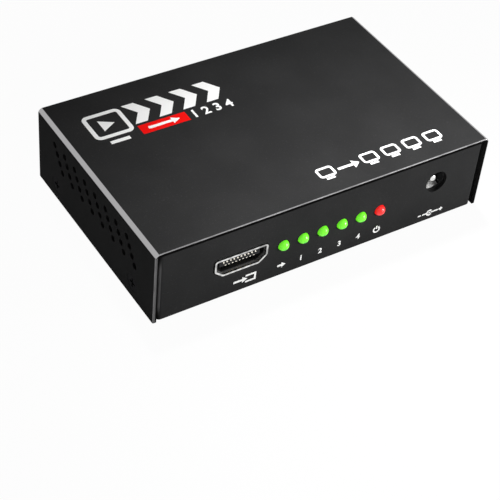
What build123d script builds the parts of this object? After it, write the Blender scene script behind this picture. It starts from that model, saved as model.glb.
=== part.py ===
from build123d import *
import os

# An HDMI splitter with one input and four outputs, in a case folded from two sheets.
# The origin is at the bottom centre of the case. X runs along the front panel, Y to the
# rear and Z up. Lengths are in millimetres.

os.makedirs("parts", exist_ok=True)

# Case
case_width = 98.0
case_depth = 61.5
case_height = 22.0
cover_wall = 1.0
cover_bend_radius = 1.3  # outside of the bend
tray_wall = 1.0
cover_edge_round = 0.3  # the outer edges at the front and the rear are eased
tray_bend_radius = 1.15  # outside of the bends under the tabs
tray_corner_radius = 1.25  # outside of the panels' upright corners
panel_recess = 0.4  # the panels stand this far behind the cover's edges
side_gap = 0.3  # between the tray and the cover's sides
lid_gap = 0.4  # between the panels' upper edges and the cover
tab_height = 8.4  # the tray's side tabs, which take the cover's screws
return_length = 7.0  # the panels' returns along the sides, welded to the tabs
overrun = 1.0  # how far a cut runs past a face

# Vents in the cover's sides, in slanting columns
vent_diameter = 1.8
vent_margin = 11.675  # from the cover's front and rear edges to the middle of the vents
vent_row_pitch = 2.07
vent_row_shift = 1.4
vent_height = 14.0  # middle of the rows
vent_columns = 8
vent_rows = 4

# Screws
thread_diameter = 3.0
thread_clearance = 0.05
cover_screw_margin = 10.45  # from the cover's front and rear edges
cover_screw_height = 4.6
cover_screw_length = 4.0
countersunk_head_diameter = 4.8
countersink_clearance = 0.1
countersink_angle = 90
screw_hole_clearance = 0.15
screw_face_recess = 0.05
dimple_margin = 0.8  # the cover's wall is pressed in round each screw by this much
collar_wall = 0.8  # the drawn collars that are tapped
collar_length = 1.0
cross_width = 0.55
cross_length = 2.6
cross_depth = 0.7

# Sockets: the opening inside the shell, wide side up, lower corners cut off
socket_opening_width = 14.0
socket_opening_height = 4.55
socket_corner_run = 2.0
socket_corner_rise = 1.7
socket_corner_radius = 0.4
socket_centre_height = 10.0
socket_in_protrusion = 0.3  # the mouths stand out of the panels by this much
socket_out_protrusion = 1.3
socket_in_margin = 22.9  # from the input's middle to the tray's side
socket_out_count = 4
socket_gap_share = 25 / 118  # of the room that the outputs leave, between two of them
panel_cut_clearance = 0.25
shell_wall = 0.5
shell_depth = 11.5
finger_width = 1.6
finger_length = 5.0
finger_slit = 0.35
finger_tip_depth = 2.0
finger_spread = 6.4
leg_width = 1.2
leg_tail = 0.6
front_leg_depth = 4.5
rear_leg_depth = 9.8
insulator_clearance = 0.05
insulator_tail = 0.8  # the insulator stands out behind the shell
tongue_width = 11.4
tongue_thickness = 1.5
tongue_rise = 0.1  # above the middle of the opening
tongue_tip_depth = 0.9
tongue_root_depth = 8.0
tongue_nose_chamfer = 0.3
contact_width = 0.3
contact_thickness = 0.15
contact_pitch = 1.0
contact_tip_inset = 0.5
contact_reach = 0.5
contact_foot = 0.9
upper_contacts = 10
lower_contacts = 9

# Circuit board
board_thickness = 1.6
board_side_clearance = 2.2
board_end_clearance = 1.35
board_corner_radius = 1.5
front_screw_inset = 3.0  # from the board's sides
front_screw_setback = 5.0  # from the board's front edge
rear_screw_setback = 5.5
board_thread_diameter = 2.0
board_screw_length = 5.0
pan_head_diameter = 3.8
pan_head_height = 1.3
pan_head_round = 0.4
pan_cross_length = 2.0
standoff_flats = 4.0
spigot_diameter = 3.2
spigot_clearance = 0.05
slot_clearance = 0.2
pin_tail = 1.0  # wires and blades stand out below the board by this much

# Indicator lamps
lamp_diameter = 3.0
lamp_flange_diameter = 3.8
lamp_flange_thickness = 1.0
lamp_length = 5.3
lamp_height = 9.9
lamp_protrusion = 1.3  # the lenses stand out of the panel by this much
lamp_first_share = 0.12  # of the room that the lamps leave between the input and the jack
lamp_gap_share = 1 / 12  # of the same room, between two lamps
lamp_hole_clearance = 0.1
lamp_wire = 0.5
lamp_wire_spread = 2.54
lamp_wire_reach = 1.5
lamp_names = ["led_in", "led_out_1", "led_out_2", "led_out_3", "led_out_4", "led_power"]

# Power jack
jack_margin = 13.7  # from the jack's axis to the tray's side
jack_axis_height = 12.6
jack_width = 9.0
jack_top_rise = 4.5
jack_depth = 14.2
jack_collar_depth = 3.4
jack_body_radius = 4.2
jack_edge_round = 0.4
jack_bore_diameter = 6.2
jack_bore_depth = 10.5
jack_mouth_margin = 0.1
jack_pin_diameter = 2.1
jack_pin_recess = 0.3
jack_pin_round = 0.5
leaf_width = 4.6
leaf_thickness = 0.35
leaf_drop = 2.45  # from the bore's axis to the leaf's upper face
leaf_tip_depth = 0.8
leaf_root_depth = 11.3
leaf_ramp_length = 1.3
leaf_ramp_drop = 0.5
leaf_pivot_inset = 0.4
leaf_side_clearance = 0.3
leaf_swing_room = 1.6  # below the leaf
leaf_terminal_gap = 0.2
switch_gap = 0.1
switch_overlap = 0.35  # the finger lies over the leaf's edge by this much
switch_depth = 8.0
switch_width = 1.5
blade_width = 2.0
blade_thickness = 0.5
blade_clearance = 0.05

# Parts on the board: sizes, then places as shares of the board's half width and half depth
package_standoff = 0.1
package_chamfer = 0.2
package_mark_diameter = 0.8
package_mark_depth = 0.1
package_mark_inset = 1.0
lead_thickness = 0.15
chip_size = 14.0
chip_height = 1.4
chip_lead_pitch = 0.8
chip_lead_width = 0.32
chip_lead_shoulder = 0.35
chip_lead_foot = 0.5
chip_leads_per_side = 16
controller_size = 7.0
controller_leads_per_side = 8
memory_width = 3.9
memory_length = 4.9
memory_height = 1.5
memory_lead_pitch = 1.27
memory_lead_width = 0.42
memory_leads_per_side = 4
protector_width = 2.5
protector_depth = 1.0
protector_height = 0.6
protector_spread = 5.0
regulator_width = 3.5
regulator_length = 6.5
regulator_height = 1.6
regulator_lead_pitch = 2.3
regulator_lead_width = 0.7
regulator_lead_count = 3
regulator_tab_width = 3.0
pad_thickness = 0.5
pad_inset = 0.5
sink_size = 14.0
sink_base = 1.5
sink_height = 6.0
sink_fin_thickness = 0.9
sink_fin_count = 6
inductor_size = 7.0
inductor_height = 4.0
inductor_corner_chamfer = 1.2
inductor_core_diameter = 6.0
inductor_groove_depth = 0.3
inductor_terminal_length = 1.4
inductor_terminal_width = 2.0
inductor_terminal_thickness = 0.2
can_diameter = 6.3
can_height = 6.2
can_round = 0.5
can_crimp_height = 1.4
can_crimp_depth = 0.25
can_crimp_width = 0.6
can_base_size = 6.6
can_base_height = 1.2
can_base_chamfer = 1.4
crystal_length = 11.4
crystal_width = 4.7
crystal_height = 3.5
crystal_round = 0.5
crystal_rim = 0.35
crystal_rim_height = 0.5
crystal_standoff = 0.3
crystal_pin_diameter = 0.45
crystal_pin_spread = 4.88
diode_length = 4.3
diode_width = 2.6
diode_height = 2.2
diode_terminal_width = 1.5
diode_terminal_thickness = 0.2
small_length = 1.6
small_width = 0.8
capacitor_height = 0.8
resistor_height = 0.45
small_end_length = 0.3
small_body_inset = 0.04
port_row_depth = 15.3  # protectors and capacitors, from a socket's mouth
port_resistor_depth = 17.3
port_resistor_pitch = 2.0
port_resistor_count = 4
port_capacitor_spread = 11.0
chip_row_clearance = 2.6  # capacitors in front of and behind the chip
chip_row_pitch = 3.0
chip_row_count = 4
lamp_resistor_gap = 3.0
outer_column_inset = 3.5  # from the board's sides to the parts next to them

chip_place_share = (-0.045, 0.0)
controller_place_share = (-0.61, 0.07)
memory_row_shares = [-0.29, 0.0, 0.29]  # of the board's half depth
crystal_place_share = (-0.385, -0.14)
regulator_place_shares = [(0.38, -0.19), (0.38, 0.19)]
inductor_place_share = (0.63, 0.07)
inner_can_place_share = (0.63, -0.27)
outer_can_row_shares = [0.29, 0.0]
diode_row_share = -0.29

# Sizes that follow from those above
tray_width = case_width - 2 * (cover_wall + side_gap)
tray_depth = case_depth - 2 * panel_recess
tray_height = case_height - cover_wall - lid_gap
socket_height = socket_opening_height + 2 * shell_wall
socket_width = socket_opening_width + 2 * shell_wall
board_top = socket_centre_height - socket_height / 2
board_bottom = board_top - board_thickness
board_width = tray_width - 2 * (tray_wall + board_side_clearance)
board_depth = tray_depth - 2 * (tray_wall + board_end_clearance)
panel_inner_face = tray_depth / 2 - tray_wall
hole_radius = thread_diameter / 2 + thread_clearance
board_hole_radius = board_thread_diameter / 2 + thread_clearance
cover_screw_spread = case_depth - 2 * cover_screw_margin
vent_pitch = (case_depth - 2 * vent_margin) / (vent_columns - 1)
outer_column = board_width / 2 - outer_column_inset
centred_above = (Align.CENTER, Align.CENTER, Align.MIN)
centred_below = (Align.CENTER, Align.CENTER, Align.MAX)

# Where the cover's screws sit: planes on the case's sides that face outwards
cover_screw_planes = [
    Plane(
        origin=(side * case_width / 2, end * cover_screw_spread / 2, cover_screw_height),
        x_dir=(0, 1, 0),
        z_dir=(side, 0, 0),
    )
    for side in (-1, 1)
    for end in (-1, 1)
]

# Where the board is screwed down: at the front corners, and at the rear between the sockets
socket_out_pitch = socket_width + socket_gap_share * (tray_width - socket_out_count * socket_width)
board_screw_places = [
    (side * (board_width / 2 - front_screw_inset), -board_depth / 2 + front_screw_setback)
    for side in (-1, 1)
] + [(side * socket_out_pitch, board_depth / 2 - rear_screw_setback) for side in (-1, 1)]

# Where each socket's mouth is: the input faces the front, the outputs face the rear
socket_in_offset = socket_in_margin - tray_width / 2
in_mouth = -tray_depth / 2 - socket_in_protrusion
out_mouth = tray_depth / 2 + socket_out_protrusion
socket_places = {"in": Location((socket_in_offset, in_mouth, socket_centre_height))}
for number in range(1, socket_out_count + 1):
    offset_x = (number - (socket_out_count + 1) / 2) * socket_out_pitch
    place = Location((offset_x, out_mouth, socket_centre_height), (0, 0, 180))
    socket_places[f"out_{number}"] = place

# The lamps stand between the input and the jack
jack_offset = tray_width / 2 - jack_margin
lamp_room_start = socket_in_offset + socket_width / 2
lamp_room_end = jack_offset - jack_width / 2
lamp_room = lamp_room_end - lamp_room_start - len(lamp_names) * lamp_flange_diameter
lamp_first = lamp_room_start + lamp_first_share * lamp_room + lamp_flange_diameter / 2
lamp_pitch = lamp_flange_diameter + lamp_gap_share * lamp_room
lamp_offsets = [lamp_first + i * lamp_pitch for i in range(len(lamp_names))]
lamp_tip = -tray_depth / 2 - lamp_protrusion
lamp_back = lamp_tip + lamp_length

jack_front = -panel_inner_face
jack_back = jack_front + jack_depth
jack_height = jack_axis_height - board_top
leaf_top = jack_axis_height - leaf_drop
leaf_middle_depth = leaf_root_depth - leaf_pivot_inset
switch_inner_edge = leaf_width / 2 - switch_overlap
switch_bottom = leaf_top + switch_gap
switch_top = switch_bottom + leaf_thickness


def on_board(share):
    """A place on the board's upper face, from shares of its half width and half depth."""
    return (share[0] * board_width / 2, share[1] * board_depth / 2, board_top)


def socket_outline(grow):
    """The socket's outline in the XZ plane, grown on every side."""
    half_width = socket_opening_width / 2
    half_height = socket_opening_height / 2
    with BuildSketch(Plane.XZ) as outline:
        with BuildLine():
            Polyline(
                (-half_width, half_height),
                (half_width, half_height),
                (half_width, socket_corner_rise - half_height),
                (half_width - socket_corner_run, -half_height),
                (socket_corner_run - half_width, -half_height),
                (-half_width, socket_corner_rise - half_height),
                close=True,
            )
        make_face()
        if grow:
            offset(amount=grow, kind=Kind.INTERSECTION)
        fillet(outline.vertices(), socket_corner_radius + grow)
    return outline.sketch


def gull_wing(body_edge, height, shoulder, foot, width):
    """One lead on the +X side: out of the body, down to the board and along it."""
    drop = body_edge + shoulder
    with BuildPart() as lead:
        with BuildSketch(Plane.XZ):
            with BuildLine():
                Polyline(
                    (body_edge, height),
                    (drop + lead_thickness, height),
                    (drop + lead_thickness, lead_thickness),
                    (drop + foot, lead_thickness),
                    (drop + foot, 0),
                    (drop, 0),
                    (drop, height - lead_thickness),
                    (body_edge, height - lead_thickness),
                    close=True,
                )
            make_face()
        extrude(amount=width / 2, both=True)
    return lead.part


def moulded_package(width, length, height):
    """A chip's moulded body, just above the board, with chamfered edges and a round mark."""
    with BuildPart() as body:
        with Locations((0, 0, package_standoff)):
            Box(width, length, height, align=centred_above)
        chamfer(body.faces().sort_by(Axis.Z)[-1].edges(), package_chamfer)
        corner = (package_mark_inset - width / 2, length / 2 - package_mark_inset)
        with Locations((*corner, package_standoff + height)):
            Cylinder(
                package_mark_diameter / 2,
                package_mark_depth,
                align=centred_below,
                mode=Mode.SUBTRACT,
            )
    return body.part


def end_capped_block(height):
    """A small two-ended part: a body between two slightly larger metal ends."""
    with BuildPart() as block:
        body_height = height - small_body_inset
        Box(small_length, small_width - 2 * small_body_inset, body_height, align=centred_above)
        for side in (-1, 1):
            with Locations((side * (small_length - small_end_length) / 2, 0, 0)):
                Box(small_end_length, small_width, height, align=centred_above)
    return block.part


# Case: cover
with BuildPart() as top_cover:
    with BuildSketch(Plane.XZ) as cover_outside:
        Rectangle(case_width, case_height, align=(Align.CENTER, Align.MIN))
        fillet(cover_outside.vertices().group_by(Axis.Y)[-1], cover_bend_radius)
    extrude(amount=case_depth / 2, both=True)
    ends = top_cover.faces().filter_by(Axis.Y)
    fillet([edge for end in ends for edge in end.edges() if edge.center().Z], cover_edge_round)
    with BuildSketch(Plane.XZ) as cover_inside:
        Rectangle(
            case_width - 2 * cover_wall,
            case_height - cover_wall,
            align=(Align.CENTER, Align.MIN),
        )
        fillet(cover_inside.vertices().group_by(Axis.Y)[-1], cover_bend_radius - cover_wall)
    extrude(amount=case_depth / 2, both=True, mode=Mode.SUBTRACT)
    with Locations(*[plane.offset(-cover_wall) for plane in cover_screw_planes]):
        Cylinder(countersunk_head_diameter / 2 + dimple_margin, side_gap, align=centred_below)
    with Locations(*cover_screw_planes):
        CounterSinkHole(
            radius=thread_diameter / 2 + screw_hole_clearance,
            counter_sink_radius=countersunk_head_diameter / 2 + countersink_clearance,
            depth=cover_wall + side_gap + overrun,
            counter_sink_angle=countersink_angle,
        )
    middle_row = (vent_rows - 1) / 2
    vent_row_places = [
        ((row - middle_row) * vent_row_shift, vent_height + (row - middle_row) * vent_row_pitch)
        for row in range(vent_rows)
    ]
    with BuildSketch(Plane.YZ):
        with Locations(*vent_row_places):
            with GridLocations(vent_pitch, vent_row_pitch, vent_columns, 1):
                Circle(vent_diameter / 2)
    extrude(amount=case_width / 2 + overrun, both=True, mode=Mode.SUBTRACT)
top_cover.part.label = "top_cover"
export_step(top_cover.part, "parts/top_cover.step")

# Case: the openings that the panels have for the sockets
with BuildPart() as socket_cutter:
    extrude(socket_outline(shell_wall + panel_cut_clearance), amount=shell_depth, dir=(0, 1, 0))
    extrude(socket_outline(shell_wall + panel_cut_clearance), amount=overrun, dir=(0, -1, 0))

# Case: tray, a floor with a tab bent up along each side
with BuildPart() as base_tray:
    with BuildSketch(Plane.XZ) as tray_outside:
        Rectangle(tray_width, tab_height, align=(Align.CENTER, Align.MIN))
        fillet(tray_outside.vertices().group_by(Axis.Y)[0], tray_bend_radius)
    extrude(amount=tray_depth / 2 - return_length, both=True)
    with BuildSketch(Plane.XZ) as tray_inside:
        with Locations((0, tray_wall)):
            Rectangle(tray_width - 2 * tray_wall, tab_height, align=(Align.CENTER, Align.MIN))
        fillet(tray_inside.vertices().group_by(Axis.Y)[0], tray_bend_radius - tray_wall)
    extrude(amount=tray_depth / 2, both=True, mode=Mode.SUBTRACT)
    with BuildSketch() as tray_floor:
        Rectangle(tray_width - 2 * tray_wall, tray_depth - 2 * tray_wall)
        fillet(tray_floor.vertices(), tray_corner_radius - tray_wall)
    extrude(amount=tray_wall)
    tab_inner_planes = [
        plane.offset(-cover_wall - side_gap - tray_wall) for plane in cover_screw_planes
    ]
    with Locations(*tab_inner_planes):
        Cylinder(hole_radius + collar_wall, collar_length, align=centred_below)
    with Locations(*cover_screw_planes):
        Cylinder(
            hole_radius,
            cover_wall + side_gap + tray_wall + collar_length + overrun,
            align=centred_below,
            mode=Mode.SUBTRACT,
        )
    with Locations(*board_screw_places):
        Cylinder(spigot_diameter / 2 + spigot_clearance, 2 * tray_wall + overrun, mode=Mode.SUBTRACT)
base_tray.part.label = "base_tray"
export_step(base_tray.part, "parts/base_tray.step")

# Case: front and rear panels, each with a return along both sides
with BuildPart() as panel_pair:
    with BuildSketch() as panels_outside:
        Rectangle(tray_width, tray_depth)
        fillet(panels_outside.vertices(), tray_corner_radius)
    extrude(amount=tray_height)
    with BuildSketch() as panels_inside:
        Rectangle(tray_width - 2 * tray_wall, tray_depth - 2 * tray_wall)
        fillet(panels_inside.vertices(), tray_corner_radius - tray_wall)
    extrude(amount=tray_height, mode=Mode.SUBTRACT)
    Box(
        tray_width + 2 * overrun,
        tray_depth - 2 * return_length,
        tray_height,
        align=centred_above,
        mode=Mode.SUBTRACT,
    )
    with Locations(*socket_places.values()):
        add(socket_cutter.part, mode=Mode.SUBTRACT)
    with BuildSketch(Plane.XZ.offset(panel_inner_face - overrun)):
        with Locations(*[(x, lamp_height) for x in lamp_offsets]):
            Circle(lamp_diameter / 2 + lamp_hole_clearance)
        with Locations((jack_offset, jack_axis_height)):
            Circle(jack_bore_diameter / 2 + jack_mouth_margin)
    extrude(amount=tray_wall + 2 * overrun, mode=Mode.SUBTRACT)

for name, solid in zip(("front_panel", "rear_panel"), panel_pair.solids().sort_by(Axis.Y)):
    with BuildPart() as panel:
        add(solid)
    panel.part.label = name
    export_step(panel.part, f"parts/{name}.step")

# Fasteners: one countersunk screw, its face on the XY plane, then the four of the cover
with BuildPart() as countersunk_screw:
    with BuildSketch(Plane.XZ):
        head_radius = countersunk_head_diameter / 2
        thread_radius = thread_diameter / 2
        with BuildLine():
            Polyline(
                (0, -screw_face_recess),
                (head_radius, -screw_face_recess),
                (thread_radius, thread_radius - head_radius - screw_face_recess),
                (thread_radius, -cover_screw_length - screw_face_recess),
                (0, -cover_screw_length - screw_face_recess),
                close=True,
            )
        make_face()
    revolve(axis=Axis.Z)
    with Locations((0, 0, -screw_face_recess)):
        Box(cross_length, cross_width, cross_depth, align=centred_below, mode=Mode.SUBTRACT)
        Box(cross_width, cross_length, cross_depth, align=centred_below, mode=Mode.SUBTRACT)

with BuildPart() as cover_screws:
    with Locations(*cover_screw_planes):
        add(countersunk_screw.part)
cover_screws.part.label = "cover_screws"
export_step(cover_screws.part, "parts/cover_screws.step")

with BuildPart() as pcb_standoffs:
    with BuildSketch(Plane.XY.offset(tray_wall)):
        with Locations(*board_screw_places):
            RegularPolygon(standoff_flats / 2, 6, major_radius=False)
    extrude(amount=board_bottom - tray_wall)
    with BuildSketch():
        with Locations(*board_screw_places):
            Circle(spigot_diameter / 2)
    extrude(amount=tray_wall)
    with BuildSketch():
        with Locations(*board_screw_places):
            Circle(board_hole_radius)
    extrude(amount=board_bottom, mode=Mode.SUBTRACT)
pcb_standoffs.part.label = "pcb_standoffs"
export_step(pcb_standoffs.part, "parts/pcb_standoffs.step")

with BuildPart() as pan_head_screw:
    Cylinder(board_thread_diameter / 2, board_screw_length, align=centred_below)
    Cylinder(pan_head_diameter / 2, pan_head_height, align=centred_above)
    fillet(pan_head_screw.faces().sort_by(Axis.Z)[-1].edges(), pan_head_round)
    with Locations((0, 0, pan_head_height)):
        Box(pan_cross_length, cross_width, cross_depth, align=centred_below, mode=Mode.SUBTRACT)
        Box(cross_width, pan_cross_length, cross_depth, align=centred_below, mode=Mode.SUBTRACT)

with BuildPart() as pcb_screws:
    with Locations(*[(x, y, board_top) for x, y in board_screw_places]):
        add(pan_head_screw.part)
pcb_screws.part.label = "pcb_screws"
export_step(pcb_screws.part, "parts/pcb_screws.step")

# Sockets: one shell with its mouth at the origin and its depth along +Y
with BuildPart() as socket_shell:
    extrude(socket_outline(shell_wall), amount=shell_depth, dir=(0, 1, 0))
    extrude(socket_outline(0), amount=shell_depth, dir=(0, 1, 0), mode=Mode.SUBTRACT)
    for side in (-1, 1):
        with BuildSketch(Plane.XY):
            with Locations(*[(x * finger_spread / 2, finger_tip_depth) for x in (-1, 1)]):
                Rectangle(
                    finger_width + 2 * finger_slit,
                    finger_length,
                    align=(Align.CENTER, Align.MIN),
                )
            with Locations(
                *[(x * finger_spread / 2, finger_tip_depth + finger_slit) for x in (-1, 1)]
            ):
                Rectangle(
                    finger_width,
                    finger_length,
                    align=(Align.CENTER, Align.MIN),
                    mode=Mode.SUBTRACT,
                )
        extrude(amount=side * (socket_height / 2 + overrun), mode=Mode.SUBTRACT)
    leg_places = [
        (side * (socket_width - shell_wall) / 2, depth)
        for side in (-1, 1)
        for depth in (front_leg_depth, rear_leg_depth)
    ]
    with Locations(*leg_places):
        Box(
            shell_wall,
            leg_width,
            socket_height / 2 + board_thickness + leg_tail,
            align=centred_below,
        )

# Sockets: the contacts of one socket, as strips along the tongue that turn down to the board
contact_start = tongue_tip_depth + contact_tip_inset
contact_back = shell_depth + insulator_tail + contact_reach
contact_end = contact_back + contact_foot
contact_level = -socket_height / 2
tongue_top = tongue_thickness / 2 + tongue_rise
contact_rows = [
    (tongue_top, upper_contacts),
    (tongue_top - tongue_thickness + contact_thickness, lower_contacts),
]
with BuildPart() as socket_contacts:
    for row_top, count in contact_rows:
        offsets = [(i - (count - 1) / 2) * contact_pitch for i in range(count)]
        with BuildSketch(*[Plane.YZ.offset(x) for x in offsets]):
            with BuildLine():
                Polyline(
                    (contact_start, row_top),
                    (contact_back, row_top),
                    (contact_back, contact_level + contact_thickness),
                    (contact_end, contact_level + contact_thickness),
                    (contact_end, contact_level),
                    (contact_back - contact_thickness, contact_level),
                    (contact_back - contact_thickness, row_top - contact_thickness),
                    (contact_start, row_top - contact_thickness),
                    close=True,
                )
            make_face()
        extrude(amount=contact_width / 2, both=True)

# Sockets: the insulator of one socket, a block with the tongue, grooved for the contacts
with BuildPart() as socket_insulator:
    with Locations((0, tongue_tip_depth, tongue_top)):
        Box(
            tongue_width,
            tongue_root_depth - tongue_tip_depth,
            tongue_thickness,
            align=(Align.CENTER, Align.MIN, Align.MAX),
        )
    chamfer(
        socket_insulator.faces().sort_by(Axis.Y)[0].edges().filter_by(Axis.X),
        tongue_nose_chamfer,
    )
    extrude(
        socket_outline(-insulator_clearance).moved(Location((0, tongue_root_depth, 0))),
        amount=shell_depth - tongue_root_depth,
        dir=(0, 1, 0),
    )
    with Locations((0, shell_depth, contact_level)):
        Box(
            socket_opening_width - 2 * insulator_clearance,
            insulator_tail,
            (socket_height + socket_opening_height) / 2 - insulator_clearance,
            align=(Align.CENTER, Align.MIN, Align.MIN),
        )
    add(socket_contacts.part, mode=Mode.SUBTRACT)

# Sockets: the input and the four outputs
for port, place in socket_places.items():
    with BuildPart() as shell:
        with Locations(place):
            add(socket_shell.part)
    shell.part.label = f"hdmi_{port}_shell"
    export_step(shell.part, f"parts/hdmi_{port}_shell.step")

    with BuildPart() as insulator:
        with Locations(place):
            add(socket_insulator.part)
    insulator.part.label = f"hdmi_{port}_insulator"
    export_step(insulator.part, f"parts/hdmi_{port}_insulator.step")

    with BuildPart() as contacts:
        with Locations(place):
            add(socket_contacts.part)
    contacts.part.label = f"hdmi_{port}_contacts"
    export_step(contacts.part, f"parts/hdmi_{port}_contacts.step")

# Lamps: one lens with its tip at the origin and its length along +Y
with BuildPart() as lamp:
    with BuildSketch(Plane.XY):
        lamp_radius = lamp_diameter / 2
        flange_front = lamp_length - lamp_flange_thickness
        with BuildLine():
            CenterArc((0, lamp_radius), lamp_radius, 270, 90)
            Polyline(
                (lamp_radius, lamp_radius),
                (lamp_radius, flange_front),
                (lamp_flange_diameter / 2, flange_front),
                (lamp_flange_diameter / 2, lamp_length),
                (0, lamp_length),
                (0, 0),
            )
        make_face()
    revolve(axis=Axis.Y)

for name, lamp_x in zip(lamp_names, lamp_offsets):
    with BuildPart() as lens:
        with Locations((lamp_x, lamp_tip, lamp_height)):
            add(lamp.part)
    lens.part.label = name
    export_step(lens.part, f"parts/{name}.step")

# Lamps: two bent wires behind each lens, down through the board
wire_offsets = [x + side * lamp_wire_spread / 2 for x in lamp_offsets for side in (-1, 1)]
wire_back = lamp_back + lamp_wire_reach
with BuildPart() as led_leads:
    with BuildSketch(*[Plane.YZ.offset(x) for x in wire_offsets]):
        with BuildLine():
            Polyline(
                (lamp_back, lamp_height + lamp_wire / 2),
                (wire_back, lamp_height + lamp_wire / 2),
                (wire_back, board_bottom - pin_tail),
                (wire_back - lamp_wire, board_bottom - pin_tail),
                (wire_back - lamp_wire, lamp_height - lamp_wire / 2),
                (lamp_back, lamp_height - lamp_wire / 2),
                close=True,
            )
        make_face()
    extrude(amount=lamp_wire / 2, both=True)
led_leads.part.label = "led_leads"
export_step(led_leads.part, "parts/led_leads.step")

# Jack: the fixed blades, then the housing that they pass through
terminal_y = jack_front + leaf_middle_depth
switch_y = jack_front + switch_depth
blade_bottom = board_bottom - pin_tail

with BuildPart() as jack_centre_pin:
    with BuildSketch(Plane.XZ.offset(-jack_front - jack_pin_recess)):
        with Locations((jack_offset, jack_axis_height)):
            Circle(jack_pin_diameter / 2)
    extrude(amount=jack_pin_recess - jack_depth)
    fillet(jack_centre_pin.faces().sort_by(Axis.Y)[0].edges(), jack_pin_round)
    with Locations((jack_offset, jack_back, jack_axis_height + jack_pin_diameter / 2)):
        Box(
            jack_pin_diameter,
            blade_thickness,
            jack_axis_height + jack_pin_diameter / 2 - blade_bottom,
            align=(Align.CENTER, Align.MIN, Align.MAX),
        )
jack_centre_pin.part.label = "jack_centre_pin"
export_step(jack_centre_pin.part, "parts/jack_centre_pin.step")

with BuildPart() as jack_sleeve_terminal:
    with Locations((jack_offset, terminal_y, blade_bottom)):
        Box(
            blade_width,
            blade_thickness,
            leaf_top - leaf_thickness - leaf_terminal_gap - blade_bottom,
            align=centred_above,
        )
jack_sleeve_terminal.part.label = "jack_sleeve_terminal"
export_step(jack_sleeve_terminal.part, "parts/jack_sleeve_terminal.step")

with BuildPart() as jack_switch_contact:
    with BuildSketch(Plane.XZ.offset(-switch_y)):
        finger_start = jack_offset + switch_inner_edge
        finger_end = jack_offset + jack_body_radius
        with BuildLine():
            Polyline(
                (finger_start, switch_top),
                (finger_end + leaf_thickness, switch_top),
                (finger_end + leaf_thickness, blade_bottom),
                (finger_end, blade_bottom),
                (finger_end, switch_bottom),
                (finger_start, switch_bottom),
                close=True,
            )
        make_face()
    extrude(amount=switch_width / 2, both=True)
jack_switch_contact.part.label = "jack_switch_contact"
export_step(jack_switch_contact.part, "parts/jack_switch_contact.step")

with BuildPart() as jack_housing:
    with BuildSketch(Plane.XZ.offset(-jack_front)):
        with Locations((jack_offset, board_top)):
            Rectangle(
                jack_width,
                jack_height + jack_top_rise,
                align=(Align.CENTER, Align.MIN),
            )
    extrude(amount=-jack_collar_depth)
    fillet(jack_housing.edges().filter_by(Axis.Y).group_by(Axis.Z)[-1], jack_edge_round)
    with BuildSketch(Plane.XZ.offset(-jack_front)):
        with Locations((jack_offset, jack_axis_height)):
            Circle(jack_body_radius)
            Rectangle(2 * jack_body_radius, jack_height, align=(Align.CENTER, Align.MAX))
    extrude(amount=-jack_depth)
    with BuildSketch(Plane.XZ.offset(-jack_front)):
        with Locations((jack_offset, jack_axis_height)):
            Circle(jack_bore_diameter / 2)
    extrude(amount=-jack_bore_depth, mode=Mode.SUBTRACT)
    with BuildSketch(Plane.XZ.offset(-jack_front)):
        with Locations((jack_offset, jack_axis_height)):
            Circle(jack_pin_diameter / 2 + blade_clearance)
    extrude(amount=-jack_depth, mode=Mode.SUBTRACT)
    with Locations((jack_offset, jack_front + leaf_tip_depth - leaf_side_clearance, leaf_top)):
        Box(
            leaf_width + 2 * leaf_side_clearance,
            leaf_root_depth - leaf_tip_depth + 2 * leaf_side_clearance,
            leaf_thickness + leaf_swing_room,
            align=(Align.CENTER, Align.MIN, Align.MAX),
            mode=Mode.SUBTRACT,
        )
        Box(
            leaf_width + 2 * leaf_side_clearance,
            leaf_root_depth - leaf_tip_depth + 2 * leaf_side_clearance,
            switch_gap + leaf_thickness + blade_clearance,
            align=(Align.CENTER, Align.MIN, Align.MIN),
            mode=Mode.SUBTRACT,
        )
    with Locations((jack_offset, terminal_y, leaf_top)):
        Box(
            blade_width + 2 * blade_clearance,
            blade_thickness + 2 * blade_clearance,
            jack_height,
            align=centred_below,
            mode=Mode.SUBTRACT,
        )
    with Locations((jack_offset + switch_inner_edge, switch_y, switch_bottom - blade_clearance)):
        Box(
            jack_width,
            switch_width + 2 * blade_clearance,
            leaf_thickness + 2 * blade_clearance,
            align=(Align.MIN, Align.CENTER, Align.MIN),
            mode=Mode.SUBTRACT,
        )
jack_housing.part.label = "jack_housing"
export_step(jack_housing.part, "parts/jack_housing.step")

# Jack: the spring leaf that presses on a plug's sleeve, with a ramp at its tip
with BuildPart() as jack_leaf_contact:
    with BuildSketch(Plane.YZ.offset(jack_offset)):
        leaf_tip = jack_front + leaf_tip_depth
        leaf_root = jack_front + leaf_root_depth
        with BuildLine():
            Polyline(
                (leaf_tip, leaf_top - leaf_ramp_drop),
                (leaf_tip + leaf_ramp_length, leaf_top),
                (leaf_root, leaf_top),
                (leaf_root, leaf_top - leaf_thickness),
                (leaf_tip + leaf_ramp_length, leaf_top - leaf_thickness),
                (leaf_tip, leaf_top - leaf_ramp_drop - leaf_thickness),
                close=True,
            )
        make_face()
    extrude(amount=leaf_width / 2, both=True)
jack_leaf_contact.part.label = "jack_leaf_contact"
export_step(jack_leaf_contact.part, "parts/jack_leaf_contact.step")

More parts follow.
